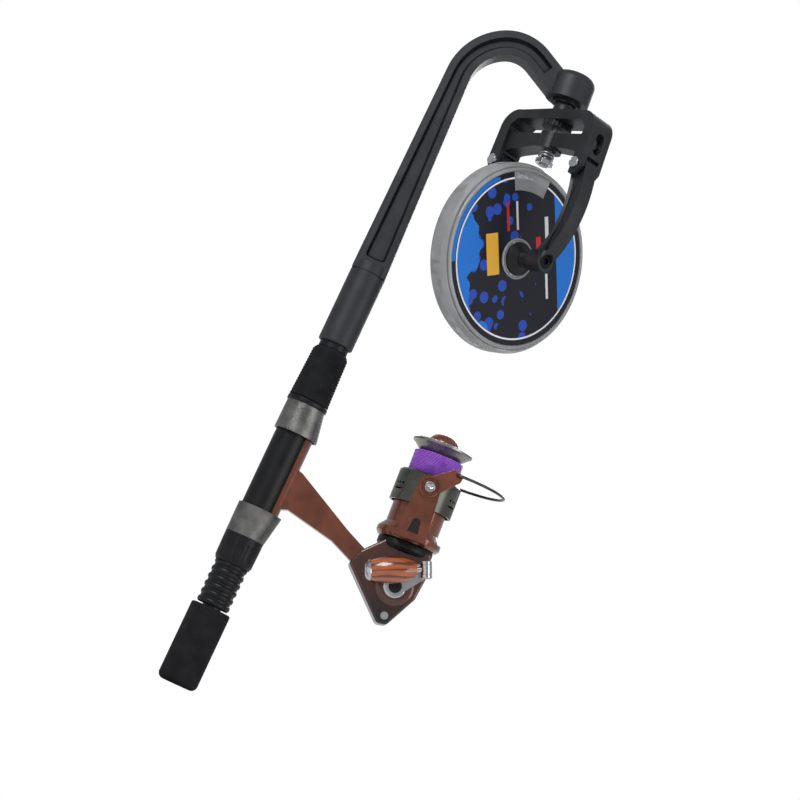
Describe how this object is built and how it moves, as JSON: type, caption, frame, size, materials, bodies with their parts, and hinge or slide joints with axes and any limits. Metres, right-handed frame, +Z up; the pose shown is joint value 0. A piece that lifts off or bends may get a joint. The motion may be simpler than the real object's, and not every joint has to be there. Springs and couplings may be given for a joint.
{
  "type": "fishing line winder",
  "caption": "Hand-held fishing line winder: rod handle with spinning reel, gooseneck arm and a swivelling fork that pinches a bulk line spool between two cones.",
  "frame": {"origin": "centre of the flat end face of the butt grip, on the rod handle's axis", "axes": "+Z up the rod handle towards the gooseneck, +X from the handle to the reel and the line spool, +Y away from the side that shows the reel's handle"},
  "size_m": [0.1487, 0.0846, 0.4619],
  "materials": {
    "foam": "closed-cell foam, matt",
    "blank": "wound fibre tube",
    "seat_black": "satin moulded black",
    "hood_metal": "brushed gunmetal sleeve",
    "arm_plastic": "glass-filled nylon, charcoal",
    "cone_plastic": "black moulded",
    "steel": "bright machined steel",
    "chrome": "polished plating",
    "wire": "dark sprung wire",
    "clear": "clear moulded plastic, smoky",
    "print": "printed disc, black and blue",
    "bulk_line": "braided grey line",
    "copper": "copper-brown metallic lacquer",
    "cover_brown": "darker copper-brown lacquer",
    "spool_metal": "smoked anodised",
    "violet_line": "violet braided line",
    "brass": "cut brass",
    "knob_wood": "lacquered wood grain"
  },
  "bodies": {
    "rod": {"rod_blank": "blank", "butt_grip": "foam", "reel_seat": "seat_black", "fixed_hood": "hood_metal", "trim_ring": "seat_black", "foregrip": "foam", "spigot": "seat_black", "reel_case": "copper", "side_cover": "cover_brown", "cover_screws": "chrome", "crank_bearing": "chrome"},
    "sliding_hood": {"sliding_hood": "hood_metal"},
    "seat_nut": {"seat_nut": "seat_black"},
    "arm": {"arm_collar": "arm_plastic", "gooseneck": "arm_plastic", "spindle": "steel", "swivel_washer": "arm_plastic", "end_nut": "chrome"},
    "tension_wheel": {"tension_wheel": "arm_plastic"},
    "yoke": {"yoke": "arm_plastic", "lower_bridge": "arm_plastic", "bridge_screws": "chrome", "pivot_screws": "chrome", "clamp_spring": "steel"},
    "front_arm": {"front_arm": "arm_plastic", "front_axle": "steel"},
    "rear_arm": {"rear_arm": "arm_plastic", "rear_axle": "steel"},
    "line_spool": {"front_cone": "cone_plastic", "line_spool": "clear", "line_pack": "bulk_line", "front_label": "print", "rear_label": "print", "spool_band": "clear"},
    "rear_cone": {"rear_cone": "cone_plastic"},
    "crank": {"crank_shaft": "steel", "drive_gear": "brass", "crank_arm": "chrome", "hinge_pin": "steel"},
    "knob_spindle": {"knob_spindle": "chrome"},
    "knob": {"knob": "knob_wood"},
    "rotor": {"rotor": "copper", "pinion": "brass", "bail_screws": "chrome"},
    "bail": {"front_lever": "copper", "rear_lever": "copper", "bail_wire": "wire", "roller_pin": "steel"},
    "line_roller": {"line_roller": "chrome"},
    "reel_spool": {"reel_spool": "spool_metal", "main_shaft": "steel", "reel_pack": "violet_line", "reel_line": "violet_line"},
    "drag_knob": {"drag_knob": "copper"}
  },
  "joints": [
    {"name": "hood_slide", "type": "slide", "parent": "rod", "child": "sliding_hood", "axis": [0, 0, -1], "range_m": [0, 0.008]},
    {"name": "nut_turn", "type": "hinge", "parent": "sliding_hood", "child": "seat_nut", "pos_m": [0, 0, 0.09], "axis": [0, 0, 1], "range_deg": [0, 576]},
    {"name": "arm_turn", "type": "hinge", "parent": "rod", "child": "arm", "pos_m": [0, 0, 0.24], "axis": [0, 0, 1], "range_deg": [-90, 90]},
    {"name": "wheel_turn", "type": "hinge", "parent": "arm", "child": "tension_wheel", "pos_m": [0.06899, 0, 0.41704], "axis": [-0.0698, 0, 0.9976], "range_deg": [-180, 180]},
    {"name": "yoke_swivel", "type": "hinge", "parent": "arm", "child": "yoke", "pos_m": [0.0685, 0, 0.42402], "axis": [-0.0698, 0, 0.9976], "continuous": true},
    {"name": "front_arm_swing", "type": "hinge", "parent": "yoke", "child": "front_arm", "pos_m": [0.09451, -0.02925, 0.39076], "axis": [-0.776, -0.6284, -0.0543], "range_deg": [0, 16], "stiffness_Nm_per_rad": 0.6, "springref_deg": -20.05},
    {"name": "rear_arm_swing", "type": "hinge", "parent": "yoke", "child": "rear_arm", "pos_m": [0.04737, 0.02925, 0.38746], "axis": [0.776, 0.6284, 0.0543], "range_deg": [0, 16]},
    {"name": "spool_spin", "type": "hinge", "parent": "front_arm", "child": "line_spool", "pos_m": [0.07533, 0, 0.32626], "axis": [0.6269, -0.7779, 0.0438], "continuous": true},
    {"name": "rear_cone_spin", "type": "hinge", "parent": "rear_arm", "child": "rear_cone", "pos_m": [0.06656, 0.01089, 0.32565], "axis": [0.6269, -0.7779, 0.0438], "continuous": true},
    {"name": "crank_turn", "type": "hinge", "parent": "rod", "child": "crank", "pos_m": [0.0955, 0, 0.108], "axis": [0, -1, 0], "continuous": true},
    {"name": "knob_fold", "type": "hinge", "parent": "crank", "child": "knob_spindle", "pos_m": [0.10812, -0.027, 0.12415], "axis": [-0.4226, 0, 0.9063], "range_deg": [0, 90]},
    {"name": "knob_spin", "type": "hinge", "parent": "knob_spindle", "child": "knob", "pos_m": [0.09181, -0.027, 0.11655], "axis": [-0.9063, 0, -0.4226], "continuous": true},
    {"name": "rotor_spin", "type": "hinge", "parent": "rod", "child": "rotor", "pos_m": [0.09089, 0, 0.14598], "axis": [-0.061, 0, 0.9981], "continuous": true},
    {"name": "bail_open", "type": "hinge", "parent": "rotor", "child": "bail", "pos_m": [0.08939, 0, 0.17044], "axis": [0, -1, 0], "range_deg": [0, 100]},
    {"name": "roller_spin", "type": "hinge", "parent": "bail", "child": "line_roller", "pos_m": [0.10211, -0.0232, 0.18374], "axis": [0, 1, 0], "continuous": true},
    {"name": "spool_stroke", "type": "slide", "parent": "rod", "child": "reel_spool", "axis": [-0.061, 0, 0.9981], "range_m": [-0.008, 0]},
    {"name": "drag_turn", "type": "hinge", "parent": "reel_spool", "child": "drag_knob", "pos_m": [0.08747, 0, 0.20188], "axis": [-0.061, 0, 0.9981], "range_deg": [-180, 180]}
  ],
  "couplings": [
    {"joint": "nut_turn", "follows": "hood_slide", "rad_per_m": 1256.6},
    {"joint": "rear_arm_swing", "follows": "front_arm_swing", "ratio": 1},
    {"joint": "rear_cone_spin", "follows": "spool_spin", "ratio": 1},
    {"joint": "rotor_spin", "follows": "crank_turn", "ratio": 5}
  ]
}
